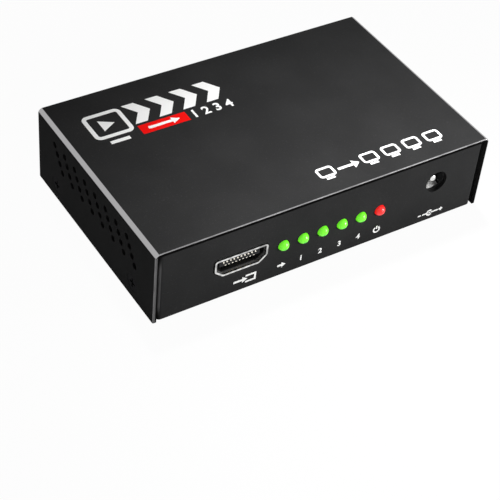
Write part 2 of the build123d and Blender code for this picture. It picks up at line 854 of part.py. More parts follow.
# Board, with its holes for screws, socket legs, lamp wires, blades and crystal pins
leg_slots = [
    place * Location((x, y, 0)) for place in socket_places.values() for x, y in leg_places
]
blade_places = [(jack_offset, jack_back + blade_thickness / 2), (jack_offset, terminal_y)]
crystal_x, crystal_y, crystal_z = on_board(crystal_place_share)
crystal_pin_places = [
    (crystal_x, crystal_y + side * crystal_pin_spread / 2) for side in (-1, 1)
]
with BuildPart() as circuit_board:
    with BuildSketch(Plane.XY.offset(board_bottom)) as board_outline:
        Rectangle(board_width, board_depth)
        fillet(board_outline.vertices(), board_corner_radius)
        with Locations(*board_screw_places):
            Circle(board_thread_diameter / 2 + screw_hole_clearance, mode=Mode.SUBTRACT)
        with Locations(*[(slot.position.X, slot.position.Y) for slot in leg_slots]):
            Rectangle(
                shell_wall + 2 * slot_clearance,
                leg_width + 2 * slot_clearance,
                mode=Mode.SUBTRACT,
            )
        with Locations(*[(x, wire_back - lamp_wire / 2) for x in wire_offsets]):
            Circle(lamp_wire / 2 + slot_clearance, mode=Mode.SUBTRACT)
        with Locations(*blade_places):
            Rectangle(
                max(blade_width, jack_pin_diameter) + 2 * slot_clearance,
                blade_thickness + 2 * slot_clearance,
                mode=Mode.SUBTRACT,
            )
        with Locations((jack_offset + jack_body_radius + leaf_thickness / 2, switch_y)):
            Rectangle(
                leaf_thickness + 2 * slot_clearance,
                switch_width + 2 * slot_clearance,
                mode=Mode.SUBTRACT,
            )
        with Locations(*crystal_pin_places):
            Circle(crystal_pin_diameter / 2 + slot_clearance, mode=Mode.SUBTRACT)
    extrude(amount=board_thickness)
circuit_board.part.label = "circuit_board"
export_step(circuit_board.part, "parts/circuit_board.step")

# The one-into-four repeater chip, its leads, its cooling pad and its heat sink
chip_place = on_board(chip_place_share)
with BuildPart() as splitter_chip:
    with Locations(chip_place):
        add(moulded_package(chip_size, chip_size, chip_height))
splitter_chip.part.label = "splitter_chip"
export_step(splitter_chip.part, "parts/splitter_chip.step")

chip_lead_height = package_standoff + (chip_height + lead_thickness) / 2
chip_lead = gull_wing(
    chip_size / 2, chip_lead_height, chip_lead_shoulder, chip_lead_foot, chip_lead_width
)
with BuildPart() as splitter_chip_leads:
    with Locations(chip_place):
        with PolarLocations(0, 4):
            with GridLocations(chip_lead_pitch, chip_lead_pitch, 1, chip_leads_per_side):
                add(chip_lead)
splitter_chip_leads.part.label = "splitter_chip_leads"
export_step(splitter_chip_leads.part, "parts/splitter_chip_leads.step")

pad_bottom = board_top + package_standoff + chip_height
with BuildPart() as thermal_pad:
    with Locations((chip_place[0], chip_place[1], pad_bottom)):
        pad_size = chip_size - 2 * pad_inset
        Box(pad_size, pad_size, pad_thickness, align=centred_above)
thermal_pad.part.label = "thermal_pad"
export_step(thermal_pad.part, "parts/thermal_pad.step")

fin_pitch = (sink_size - sink_fin_thickness) / (sink_fin_count - 1)
with BuildPart() as heatsink:
    with Locations((chip_place[0], chip_place[1], pad_bottom + pad_thickness)):
        Box(sink_size, sink_size, sink_base, align=centred_above)
        with GridLocations(fin_pitch, fin_pitch, sink_fin_count, 1):
            Box(sink_fin_thickness, sink_size, sink_height, align=centred_above)
heatsink.part.label = "heatsink"
export_step(heatsink.part, "parts/heatsink.step")

# The controller
controller_place = on_board(controller_place_share)
with BuildPart() as microcontroller:
    with Locations(controller_place):
        add(moulded_package(controller_size, controller_size, chip_height))
microcontroller.part.label = "microcontroller"
export_step(microcontroller.part, "parts/microcontroller.step")

controller_lead = gull_wing(
    controller_size / 2, chip_lead_height, chip_lead_shoulder, chip_lead_foot, chip_lead_width
)
with BuildPart() as microcontroller_leads:
    with Locations(controller_place):
        with PolarLocations(0, 4):
            with GridLocations(chip_lead_pitch, chip_lead_pitch, 1, controller_leads_per_side):
                add(controller_lead)
microcontroller_leads.part.label = "microcontroller_leads"
export_step(microcontroller_leads.part, "parts/microcontroller_leads.step")

# The display data memories
memory_places = [(-outer_column, row * board_depth / 2, board_top) for row in memory_row_shares]
with BuildPart() as eeprom_chips:
    with Locations(*memory_places):
        add(moulded_package(memory_width, memory_length, memory_height))
eeprom_chips.part.label = "eeprom_chips"
export_step(eeprom_chips.part, "parts/eeprom_chips.step")

memory_lead_height = package_standoff + (memory_height + lead_thickness) / 2
memory_lead = gull_wing(
    memory_width / 2, memory_lead_height, chip_lead_shoulder, chip_lead_foot, memory_lead_width
)
with BuildPart() as eeprom_leads:
    with Locations(*memory_places):
        with PolarLocations(0, 2):
            with GridLocations(memory_lead_pitch, memory_lead_pitch, 1, memory_leads_per_side):
                add(memory_lead)
eeprom_leads.part.label = "eeprom_leads"
export_step(eeprom_leads.part, "parts/eeprom_leads.step")

# Surge protectors, two behind each socket
port_floors = [place * Location((0, 0, contact_level)) for place in socket_places.values()]
with BuildPart() as esd_arrays:
    with Locations(*port_floors):
        with Locations(*[(side * protector_spread / 2, port_row_depth) for side in (-1, 1)]):
            Box(protector_width, protector_depth, protector_height, align=centred_above)
    chamfer(esd_arrays.faces().group_by(Axis.Z)[-1].edges(), package_standoff)
esd_arrays.part.label = "esd_arrays"
export_step(esd_arrays.part, "parts/esd_arrays.step")

# Voltage regulators: three leads on one side, a wide tab on the other
regulator_places = [on_board(share) for share in regulator_place_shares]
with BuildPart() as voltage_regulators:
    with Locations(*regulator_places):
        add(moulded_package(regulator_width, regulator_length, regulator_height))
voltage_regulators.part.label = "voltage_regulators"
export_step(voltage_regulators.part, "parts/voltage_regulators.step")

regulator_lead_height = package_standoff + (regulator_height + lead_thickness) / 2
regulator_lead, regulator_tab = [
    gull_wing(regulator_width / 2, regulator_lead_height, chip_lead_shoulder, chip_lead_foot, width)
    for width in (regulator_lead_width, regulator_tab_width)
]
with BuildPart() as voltage_regulator_leads:
    with Locations(*regulator_places):
        with GridLocations(regulator_lead_pitch, regulator_lead_pitch, 1, regulator_lead_count):
            add(regulator_lead)
        with Locations(Location((0, 0, 0), (0, 0, 180))):
            add(regulator_tab)
voltage_regulator_leads.part.label = "voltage_regulator_leads"
export_step(voltage_regulator_leads.part, "parts/voltage_regulator_leads.step")

# Power inductor: a shielded block with a round core, and a terminal strip at each end
inductor_place = on_board(inductor_place_share)
with BuildPart() as inductor:
    with Locations((0, 0, inductor_terminal_thickness)):
        Box(inductor_size, inductor_size, inductor_height, align=centred_above)
    chamfer(inductor.edges().filter_by(Axis.Z), inductor_corner_chamfer)
    with BuildSketch(Plane.XY.offset(inductor_terminal_thickness + inductor_height)):
        Circle(inductor_core_diameter / 2)
        Circle(inductor_core_diameter / 2 - inductor_groove_depth, mode=Mode.SUBTRACT)
    extrude(amount=-inductor_groove_depth, mode=Mode.SUBTRACT)

with BuildPart() as power_inductor:
    with Locations(inductor_place):
        add(inductor.part)
power_inductor.part.label = "power_inductor"
export_step(power_inductor.part, "parts/power_inductor.step")

with BuildPart() as inductor_terminals:
    with Locations(inductor_place):
        with Locations(*[(side * inductor_size / 2, 0) for side in (-1, 1)]):
            Box(
                inductor_terminal_length,
                inductor_terminal_width,
                inductor_terminal_thickness,
                align=centred_above,
            )
inductor_terminals.part.label = "inductor_terminals"
export_step(inductor_terminals.part, "parts/inductor_terminals.step")

# Electrolytic capacitors: crimped cans on moulded bases
with BuildPart() as can:
    with Locations((0, 0, can_base_height)):
        Cylinder(can_diameter / 2, can_height, align=centred_above)
    fillet(can.faces().sort_by(Axis.Z)[-1].edges(), can_round)
    with BuildSketch(Plane.XZ):
        with Locations((can_diameter / 2, can_base_height + can_crimp_height)):
            Rectangle(2 * can_crimp_depth, can_crimp_width)
    revolve(axis=Axis.Z, mode=Mode.SUBTRACT)

with BuildPart() as can_base:
    Box(can_base_size, can_base_size, can_base_height, align=centred_above)
    chamfer(can_base.edges().filter_by(Axis.Z).group_by(Axis.X)[0], can_base_chamfer)

can_places = [on_board(inner_can_place_share)] + [
    (outer_column, row * board_depth / 2, board_top) for row in outer_can_row_shares
]
with BuildPart() as electrolytic_cans:
    with Locations(*can_places):
        add(can.part)
electrolytic_cans.part.label = "electrolytic_cans"
export_step(electrolytic_cans.part, "parts/electrolytic_cans.step")

with BuildPart() as electrolytic_bases:
    with Locations(*can_places):
        add(can_base.part)
electrolytic_bases.part.label = "electrolytic_bases"
export_step(electrolytic_bases.part, "parts/electrolytic_bases.step")

# Crystal: a low oval can with a rim, on two pins through the board
can_floor = crystal_z + crystal_standoff
with BuildPart() as crystal_can:
    with BuildSketch(Plane.XY.offset(can_floor)):
        with Locations((crystal_x, crystal_y)):
            SlotOverall(crystal_length, crystal_width, rotation=90)
    extrude(amount=crystal_rim_height)
    with BuildSketch(Plane.XY.offset(can_floor)):
        with Locations((crystal_x, crystal_y)):
            SlotOverall(
                crystal_length - 2 * crystal_rim,
                crystal_width - 2 * crystal_rim,
                rotation=90,
            )
    extrude(amount=crystal_height)
    fillet(crystal_can.faces().sort_by(Axis.Z)[-1].edges(), crystal_round)
crystal_can.part.label = "crystal_can"
export_step(crystal_can.part, "parts/crystal_can.step")

with BuildPart() as crystal_pins:
    with BuildSketch(Plane.XY.offset(can_floor)):
        with Locations(*crystal_pin_places):
            Circle(crystal_pin_diameter / 2)
    extrude(amount=board_bottom - pin_tail - can_floor)
crystal_pins.part.label = "crystal_pins"
export_step(crystal_pins.part, "parts/crystal_pins.step")

# Rectifier diode: a block on two strips
diode_place = (outer_column, diode_row_share * board_depth / 2, board_top)
with BuildPart() as rectifier_diode:
    with Locations(diode_place):
        with Locations((0, 0, diode_terminal_thickness)):
            Box(diode_length, diode_width, diode_height, align=centred_above)
    chamfer(rectifier_diode.faces().sort_by(Axis.Z)[-1].edges(), package_chamfer)
rectifier_diode.part.label = "rectifier_diode"
export_step(rectifier_diode.part, "parts/rectifier_diode.step")

with BuildPart() as diode_terminals:
    with Locations(diode_place):
        with Locations(*[(side * diode_length / 2, 0) for side in (-1, 1)]):
            Box(
                diode_terminal_width,
                diode_terminal_width,
                diode_terminal_thickness,
                align=centred_above,
            )
diode_terminals.part.label = "diode_terminals"
export_step(diode_terminals.part, "parts/diode_terminals.step")

# Small parts: capacitors beside the protectors and round the chip, resistors in rows
chip_row_offset = chip_size / 2 + chip_lead_shoulder + chip_lead_foot + chip_row_clearance
with BuildPart() as ceramic_capacitors:
    with Locations(*port_floors):
        with Locations(*[(side * port_capacitor_spread / 2, port_row_depth) for side in (-1, 1)]):
            add(end_capped_block(capacitor_height))
    with Locations(chip_place):
        with GridLocations(chip_row_pitch, 2 * chip_row_offset, chip_row_count, 2):
            add(end_capped_block(capacitor_height))
ceramic_capacitors.part.label = "ceramic_capacitors"
export_step(ceramic_capacitors.part, "parts/ceramic_capacitors.step")

lamp_resistor_places = [(x, wire_back + lamp_resistor_gap, board_top) for x in lamp_offsets]
with BuildPart() as chip_resistors:
    with Locations(*port_floors):
        with Locations((0, port_resistor_depth)):
            with GridLocations(port_resistor_pitch, port_resistor_pitch, port_resistor_count, 1):
                add(end_capped_block(resistor_height))
    with Locations(*lamp_resistor_places):
        add(end_capped_block(resistor_height))
chip_resistors.part.label = "chip_resistors"
export_step(chip_resistors.part, "parts/chip_resistors.step")
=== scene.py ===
import bpy
import math
import numpy as np
from mathutils import Matrix, Vector


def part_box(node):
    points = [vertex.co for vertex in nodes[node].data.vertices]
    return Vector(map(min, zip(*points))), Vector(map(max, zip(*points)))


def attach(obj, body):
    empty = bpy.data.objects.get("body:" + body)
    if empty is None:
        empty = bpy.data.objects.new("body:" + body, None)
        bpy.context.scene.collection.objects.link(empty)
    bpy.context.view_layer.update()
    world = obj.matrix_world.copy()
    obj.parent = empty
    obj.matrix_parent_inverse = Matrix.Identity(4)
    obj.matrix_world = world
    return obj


# The looks of a small metal-cased video splitter: finishes, printed marks, studio and camera.
# The frame is in metres; the finishes and the printed marks are worked out in millimetres.

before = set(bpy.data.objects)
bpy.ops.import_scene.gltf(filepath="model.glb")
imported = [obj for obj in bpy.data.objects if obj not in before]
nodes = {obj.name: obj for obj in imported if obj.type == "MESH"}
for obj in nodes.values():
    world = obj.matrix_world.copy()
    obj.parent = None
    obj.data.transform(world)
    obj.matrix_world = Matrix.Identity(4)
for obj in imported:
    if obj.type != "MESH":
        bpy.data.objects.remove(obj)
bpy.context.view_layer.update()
millimetre = 0.001
print("frame loaded,", len(nodes), "nodes")

coverHigh = np.array(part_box("top_cover")[1]) / millimetre
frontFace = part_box("front_panel")[0][1] / millimetre
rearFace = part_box("rear_panel")[1][1] / millimetre


# camera

cameraLook = {
    "eye": (-0.17444, -0.24208, 0.25238),  # metres
    "turn": -35.669,  # degrees about the vertical; 0 looks along +Y
    "climb": 42.624,  # degrees that the camera looks down
    "roll": 5.917,  # degrees
    "lens": 105.98,  # mm, on the sensor below
    "sensor": 36.0,
    "near": 0.01,  # metres, the nearest that it sees
    "far": 20,
}


# Turn and climb give the axis behind the camera, and roll turns its right and up axes about that one.
def makeCamera(look):
    turn, climb, roll = [math.radians(look[key]) for key in ("turn", "climb", "roll")]
    back = Vector((math.sin(turn) * math.cos(climb), -math.cos(turn) * math.cos(climb), math.sin(climb)))
    right = Vector((0, 0, 1)).cross(back).normalized()
    up = back.cross(right)
    rolledRight = right * math.cos(roll) + up * math.sin(roll)
    rolledUp = up * math.cos(roll) - right * math.sin(roll)
    data = bpy.data.cameras.new("camera")
    data.lens = look["lens"]
    data.sensor_width = look["sensor"]
    data.clip_start = look["near"]
    data.clip_end = look["far"]
    eye = bpy.data.objects.new("camera", data)
    columns = Matrix((rolledRight, rolledUp, back)).transposed()
    eye.matrix_world = Matrix.Translation(look["eye"]) @ columns.to_4x4()
    bpy.context.scene.collection.objects.link(eye)
    bpy.context.scene.camera = eye


makeCamera(cameraLook)
bpy.context.scene.view_settings.view_transform = "Standard"
print("camera set")


# shader helpers

class Wire:  # one output of a node; sums and products of wires add the Math nodes that they need
    def __init__(self, finish, socket):
        self.finish = finish
        self.socket = socket

    def math(self, operation, *others):
        inputs = dict(enumerate((self, *others)))
        return self.finish.node("ShaderNodeMath", {"operation": operation}, inputs)

    def __add__(self, other):
        return self.math("ADD", other)

    def __radd__(self, other):
        return self.math("ADD", other)

    def __mul__(self, other):
        return self.math("MULTIPLY", other)

    def __rmul__(self, other):
        return self.math("MULTIPLY", other)

    def __sub__(self, other):
        return self.math("SUBTRACT", other)

    def __rsub__(self, other):
        return self * -1 + other

    def __truediv__(self, other):
        return self.math("DIVIDE", other)

    def __abs__(self):
        return self.math("ABSOLUTE")

    def larger(self, other):
        return self.math("MAXIMUM", other)

    def beyond(self, level, soft=0.02):  # 0 below the level, 1 above it, with a soft step
        inputs = {"Value": self, "From Min": level - soft, "From Max": level + soft}
        return self.finish.node("ShaderNodeMapRange", {"interpolation_type": "SMOOTHSTEP"}, inputs)

    def between(self, low, high):  # stretched from low..high of the wire to 0..1
        inputs = {"Value": self, "From Min": low, "From Max": high}
        return self.finish.node("ShaderNodeMapRange", {}, inputs)


class Finish:  # a material under construction
    def __init__(self, name):
        self.material = bpy.data.materials.new(name)
        self.material.use_nodes = True
        self.tree = self.material.node_tree
        self.tree.nodes.clear()
        self.place = self.node("ShaderNodeTexCoord", out="Object")
        inMillimetres = self.node(
            "ShaderNodeVectorMath",
            {"operation": "SCALE"},
            {"Vector": self.place, "Scale": 1 / millimetre},
        )
        self.x, self.y, self.z = [
            self.node("ShaderNodeSeparateXYZ", {}, {"Vector": inMillimetres}, out=axis) for axis in "XYZ"
        ]

    # Any node: its settings are set first, and then each socket gets a link or a value
    def node(self, kind, settings=None, inputs=None, out=0):
        made = self.tree.nodes.new(kind)
        for key, value in (settings or {}).items():
            setattr(made, key, value)
        for key, value in (inputs or {}).items():
            if isinstance(value, Wire):
                self.tree.links.new(value.socket, made.inputs[key])
            else:
                made.inputs[key].default_value = value
        return Wire(self, made.outputs[out]) if len(made.outputs) else None

    def noise(self, size, detail=2.0, roughness=0.5, stretch=None):  # lumps about size mm wide
        vector = self.place
        if stretch:
            vector = self.node(
                "ShaderNodeVectorMath", {"operation": "MULTIPLY"}, {0: self.place, 1: stretch}
            )
        inputs = {
            "Vector": vector,
            "Scale": 1 / (size * millimetre),
            "Detail": detail,
            "Roughness": roughness,
        }
        return self.node("ShaderNodeTexNoise", {}, inputs)

    # The first colour where the mask is 0, the second where it is 1. The Mix node has several inputs
    # of one name, so they go by number: 0 is the factor, 6 and 7 are the colours, and 2 comes out.
    def tint(self, mask, first, second):
        inputs = {0: mask, 6: first, 7: second}
        for key in (6, 7):
            if not isinstance(inputs[key], Wire):
                inputs[key] = (*inputs[key], 1)
        return self.node("ShaderNodeMix", {"data_type": "RGBA"}, inputs, out=2)

    def bump(self, height, distance):  # the normal of a height from 0 to 1 that stands distance mm tall
        inputs = {"Height": height, "Distance": distance * millimetre, "Strength": 1.0}
        return self.node("ShaderNodeBump", {}, inputs)

    def surface(self, **sockets):  # a socket's name in camelCase, such as baseColor, is Base Color
        inputs = {}
        for key, value in sockets.items():
            label = "".join(" " + letter if letter.isupper() else letter for letter in key).title()
            inputs[label.replace("Ior", "IOR")] = (*value, 1) if isinstance(value, tuple) else value
        shader = self.node("ShaderNodeBsdfPrincipled", {}, inputs)
        self.node("ShaderNodeOutputMaterial", {}, {"Surface": shader})
        return self.material


def paintNodes(material, *names):  # the material goes into each slot of the named nodes
    for name in names:
        for spot in nodes[name].material_slots:
            spot.material = material


# the case: charcoal powder coat, with painted highlights of pale bare metal on the bends and the eased
# edges, and painted shade on the sawn faces

coatLook = {
    "colour": (0.0222, 0.0223, 0.0226),
    "paler": (0.0264, 0.0265, 0.0268),
    # painted shade: the colour of the cover's sawn faces
    "paintedCutShade": (0.003, 0.003, 0.003),
    "mottle": 16.0,  # mm
    "mottleRange": (0.35, 0.65),  # of the noise, from the colour to the paler one
    "grain": 0.28,  # mm
    "grainHeight": 0.012,  # mm
    "grainSwing": 0.12,  # of the roughness
    "fleckRange": (0.62, 0.8),  # grains that show a little pale
    "fleckShare": 0.05,
    "roughness": 0.55,
    "specular": 0.004,
    # pale bare metal: the tone of the flecks, and of the painted highlights on bends, edges and corners
    "wearAndSheen": (0.4, 0.395, 0.4),
    "paintedSheenRoughness": 0.42,
    "paintedSheenMetal": 1.0,
    "bendSide": 0.85,  # mm below the top that the painted highlight covers on the folds along the two sides
    "bendTop": 1.05,  # mm inward of the sides
    "bendSoft": 0.06,  # mm
    "ease": 0.22,  # mm, the eased edges at the front and the rear
    "easeSoft": 0.05,  # mm
    "edgeShine": 0.55,
    "edgeWander": 5.0,  # mm, lighter and darker stretches of the painted highlight along those edges
    "edgeWanderRange": (0.3, 0.6),
    "edgeWanderShare": 0.35,
    "cutDepth": (0.012, 0.008),  # mm, the sheet's sawn faces: their skin and its softness
    "cutSheenReach": (0.62, 0.12),  # mm of the left front edge that get a grey painted highlight, and the softness
    "cutShine": 0.26,
    "leftSoft": 1,  # mm, over which the painted highlights end at the middle
    "cornerReach": (77.2, 0.1),  # mm across plus along, beyond which the panels' corners get a painted highlight
    "cornerLow": (3.0, 2.0),  # mm above the floor where that painted highlight begins, and the softness
    "cornerHigh": (18.0, 2.0),  # mm above the floor where it ends
    "cornerShine": 0.28,
}


# Paint with soft mottling and grain. Masks over x, y and z place painted highlights of pale bare metal:
# the panels at their left front corners, the cover in a strip along its bends and on its eased front and
# rear edges. The cover's sawn faces get painted shade, near black, with a grey painted highlight on the
# left front one.
def makeCoat(name, look, bends):
    finish = Finish(name)
    mottle = finish.noise(look["mottle"], detail=3)
    grain = finish.noise(look["grain"], detail=2)
    colour = finish.tint(mottle.between(*look["mottleRange"]), look["colour"], look["paler"])
    fleck = grain.between(*look["fleckRange"]) * look["fleckShare"]
    colour = finish.tint(fleck, colour, look["wearAndSheen"])
    roughness = look["roughness"] + (grain - 0.5) * look["grainSwing"]
    across = abs(finish.x)
    along = abs(finish.y)
    soft = look["leftSoft"]
    leftFront = (1 - finish.x.beyond(0, soft)) * (1 - finish.y.beyond(0, soft))
    if not bends:
        # Painted highlight: pale bare metal on the panels' left front corners, between two heights
        fade = finish.z.beyond(*look["cornerLow"]) * (1 - finish.z.beyond(*look["cornerHigh"]))
        corner = (across + along).beyond(*look["cornerReach"]) * leftFront * fade
        shown = corner * look["cornerShine"]
        colour = finish.tint(shown, colour, look["wearAndSheen"])
        metal = shown * look["paintedSheenMetal"]
    else:
        side, end, top = coverHigh
        # Painted highlight: a strip of pale bare metal along the cover's bends, even because it mirrors
        # the white surround
        overSide = across.beyond(side - look["bendTop"], look["bendSoft"])
        overTop = finish.z.beyond(top - look["bendSide"], look["bendSoft"])
        paintedBendSheen = overSide * overTop
        # Painted highlight along the eased front and rear edges, lighter and darker in stretches
        skin = finish.z.beyond(top - look["ease"]).larger(across.beyond(side - look["ease"]))
        wander = finish.noise(look["edgeWander"], detail=2).between(*look["edgeWanderRange"])
        share = look["edgeWanderShare"]
        paintedEdgeSheen = along.beyond(end - look["ease"], look["easeSoft"]) * skin
        paintedEdgeSheen = paintedEdgeSheen * (wander * share + (1 - share))
        # Painted shade: the sawn faces at the front and the rear are drawn near black
        skinDepth, cutSoft = look["cutDepth"]
        cut = along.beyond(end - skinDepth, cutSoft)
        # Painted highlight: a grey band on the left front sawn edge, near its outer side
        sheenWidth, sheenSoft = look["cutSheenReach"]
        outer = across.beyond(side - sheenWidth, sheenSoft) * (1 - overTop)
        paintedLeftEdgeSheen = cut * outer * leftFront * look["cutShine"]
        wearAndSheen = paintedBendSheen.larger(paintedEdgeSheen * look["edgeShine"])
        colour = finish.tint(wearAndSheen, colour, look["wearAndSheen"])
        colour = finish.tint(paintedLeftEdgeSheen, finish.tint(cut, colour, look["paintedCutShade"]), look["wearAndSheen"])
        shown = (wearAndSheen * (1 - cut)).larger(paintedLeftEdgeSheen)
        roughness = roughness + shown * (look["paintedSheenRoughness"] - look["roughness"])
        metal = shown * look["paintedSheenMetal"]
    return finish.surface(
        baseColor=colour,
        roughness=roughness,
        metallic=metal,
        specularIorLevel=look["specular"],
        normal=finish.bump(grain, look["grainHeight"]),
    )


paintNodes(makeCoat("coverCoat", coatLook, bends=True), "top_cover")
paintNodes(makeCoat("panelCoat", coatLook, bends=False), "base_tray", "front_panel", "rear_panel")
print("case finished")


# metals: plated screws, socket shells, contacts, wires and cans

metalLooks = {
    "brightPlate": {
        "colour": (0.72, 0.72, 0.7),
        "wearAndSheen": (0.85, 0.85, 0.84),
        "roughness": 0.22,
        "grain": 0.6,  # mm
        "metal": 1.0,
    },
    # painted highlight: the jack's leaf drawn near white and barely metallic, paler than the plated
    # parts
    "springPaintedHighlight": {
        "colour": (0.94, 0.94, 0.93),
        "wearAndSheen": (0.97, 0.97, 0.96),
        "roughness": 0.45,
        "grain": 0.6,
        "metal": 0.2,
    },
    "contactGold": {
        "colour": (0.83, 0.6, 0.22),
        "wearAndSheen": (0.95, 0.75, 0.4),
        "roughness": 0.25,
        "grain": 0.5,
        "metal": 0.6,
    },
    "tinPlate": {
        "colour": (0.62, 0.62, 0.61),
        "wearAndSheen": (0.74, 0.74, 0.73),
        "roughness": 0.34,
        "grain": 0.5,
        "metal": 1.0,
    },
    "bareAluminium": {
        "colour": (0.68, 0.69, 0.7),
        "wearAndSheen": (0.8, 0.8, 0.81),
        "roughness": 0.36,
        "grain": 0.8,
        "metal": 1.0,
    },
}
metalGrain = {
    "cloud": 8,  # grains wide
    "cloudRange": (0.35, 0.7),
    "stretch": (1, 0.12, 1),  # scratches run along Y
    "swing": 0.2,  # of the roughness
    "height": 0.004,  # mm
}


# Wide clouds lead from the colour to the rubbed one, and fine scratches stir roughness and normal
def makeMetal(name, look):
    finish = Finish(name)
    cloud = finish.noise(look["grain"] * metalGrain["cloud"], detail=3)
    scratch = finish.noise(look["grain"], detail=2, stretch=metalGrain["stretch"])
    return finish.surface(
        baseColor=finish.tint(cloud.between(*metalGrain["cloudRange"]), look["colour"], look["wearAndSheen"]),
        metallic=look["metal"],
        roughness=look["roughness"] + (scratch - 0.5) * metalGrain["swing"],
        normal=finish.bump(scratch, metalGrain["height"]),
    )


metals = {name: makeMetal(name, look) for name, look in metalLooks.items()}
ports = ["in", "out_1", "out_2", "out_3", "out_4"]
paintNodes(metals["brightPlate"], "pcb_standoffs", "pcb_screws", "crystal_can", "jack_centre_pin")
paintNodes(metals["brightPlate"], "jack_sleeve_terminal", "jack_switch_contact")
paintNodes(metals["springPaintedHighlight"], "jack_leaf_contact")
paintNodes(metals["contactGold"], *[f"hdmi_{port}_contacts" for port in ports])
paintNodes(metals["tinPlate"], "led_leads", "splitter_chip_leads", "microcontroller_leads")
paintNodes(metals["tinPlate"], "eeprom_leads", "voltage_regulator_leads", "inductor_terminals")
paintNodes(metals["tinPlate"], "crystal_pins", "diode_terminals")
paintNodes(metals["bareAluminium"], "heatsink", "electrolytic_cans")

shellLook = {
    "colour": (0.86, 0.86, 0.85),
    "dull": (0.012, 0.012, 0.012),  # painted shade, deep in the socket
    "deepMetal": 0.4,
    "roughness": 0.2,
    "deepRoughness": 0.4,  # added deep in the socket
    "rim": 0.25,  # mm behind the mouth that stay bright
    "fade": 1.0,
    "patch": 1.2,  # mm, the patches of painted shade on the rim
    "patchRange": (0.35, 0.65),
    "inputPatches": 0.55,  # how dark the patches of painted shade are
    "outputPatches": 0.2,
    "scratch": 0.35,  # mm
    "stretch": (0.15, 1, 1),  # scratches run along X
    "swing": 0.12,  # of the roughness
    "height": 0.003,  # mm
}


# Plated colour at the mouth, which is this far from y 0, and painted shade behind it, where it is also
# less metallic and rougher; noise paints patches of shade on the rim
def makeShell(name, look, mouth, patches):
    finish = Finish(name)
    depth = mouth - abs(finish.y)
    paintedDepthShade = depth.between(look["rim"], look["rim"] + look["fade"])
    scratch = finish.noise(look["scratch"], detail=2, stretch=look["stretch"])
    # Painted shade in patches along the bright rim, stronger on the input
    patch = finish.noise(look["patch"], detail=0).between(*look["patchRange"]) * patches
    swing = paintedDepthShade * look["deepRoughness"] + (scratch - 0.5) * look["swing"]
    return finish.surface(
        baseColor=finish.tint(paintedDepthShade.larger(patch), look["colour"], look["dull"]),
        metallic=1 - paintedDepthShade * (1 - look["deepMetal"]),
        roughness=look["roughness"] + swing,
        normal=finish.bump(scratch, look["height"]),
    )


inMouth = -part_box("hdmi_in_shell")[0][1] / millimetre
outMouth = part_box("hdmi_out_1_shell")[1][1] / millimetre
inputShell = makeShell("inputShell", shellLook, inMouth, shellLook["inputPatches"])
paintNodes(inputShell, "hdmi_in_shell")
outputShell = makeShell("outputShell", shellLook, outMouth, shellLook["outputPatches"])
paintNodes(outputShell, *[f"hdmi_{port}_shell" for port in ports[1:]])
print("metals finished")


# plastics, board and small parts

plasticLooks = {
    "blackMoulding": {
        "colour": (0.012, 0.012, 0.013),
        "paler": (0.02, 0.02, 0.021),
        "grain": 0.25,  # mm
        "roughness": 0.5,
        "specular": 0.4,
    },
    "chipEpoxy": {
        "colour": (0.016, 0.016, 0.017),
        "paler": (0.028, 0.028, 0.03),
        "grain": 0.12,
        "roughness": 0.62,
        "specular": 0.4,
    },
    "ferrite": {
        "colour": (0.045, 0.045, 0.05),
        "paler": (0.07, 0.07, 0.075),
        "grain": 0.2,
        "roughness": 0.7,
        "specular": 0.4,
    },
    "padRubber": {
        "colour": (0.2, 0.21, 0.23),
        "paler": (0.26, 0.27, 0.29),
        "grain": 0.3,
        "roughness": 0.8,
        "specular": 0.4,
    },
    "capacitorTan": {
        "colour": (0.3, 0.2, 0.11),
        "paler": (0.38, 0.27, 0.16),
        "grain": 0.15,
        "roughness": 0.45,
        "specular": 0.4,
    },
    "resistorGlaze": {
        "colour": (0.01, 0.01, 0.011),
        "paler": (0.018, 0.018, 0.02),
        "grain": 0.2,
        "roughness": 0.3,
        "specular": 0.4,
    },
    "blackScrew": {
        "colour": (0.009, 0.009, 0.01),
        "paler": (0.016, 0.016, 0.017),
        "grain": 0.3,
        "roughness": 0.5,
        "specular": 0.006,
    },
}
plasticGrain = {
    "cloud": 20,  # grains wide
    "cloudRange": (0.3, 0.7),
    "swing": 0.15,  # of the roughness
    "height": 0.01,  # mm
}


# Wide clouds lead from the colour to the paler one, and fine grain stirs roughness and normal
def makePlastic(name, look):
    finish = Finish(name)
    cloud = finish.noise(look["grain"] * plasticGrain["cloud"], detail=3)
    grain = finish.noise(look["grain"], detail=2)
    return finish.surface(
        baseColor=finish.tint(cloud.between(*plasticGrain["cloudRange"]), look["colour"], look["paler"]),
        roughness=look["roughness"] + (grain - 0.5) * plasticGrain["swing"],
        specularIorLevel=look["specular"],
        normal=finish.bump(grain, plasticGrain["height"]),
    )


plastics = {name: makePlastic(name, look) for name, look in plasticLooks.items()}
paintNodes(plastics["blackMoulding"], "jack_housing", "electrolytic_bases")
paintNodes(plastics["chipEpoxy"], "splitter_chip", "microcontroller", "eeprom_chips", "esd_arrays")
paintNodes(plastics["chipEpoxy"], "voltage_regulators", "rectifier_diode")
paintNodes(plastics["ferrite"], "power_inductor")
paintNodes(plastics["padRubber"], "thermal_pad")
paintNodes(plastics["capacitorTan"], "ceramic_capacitors")
paintNodes(plastics["resistorGlaze"], "chip_resistors")
paintNodes(plastics["blackScrew"], "cover_screws")

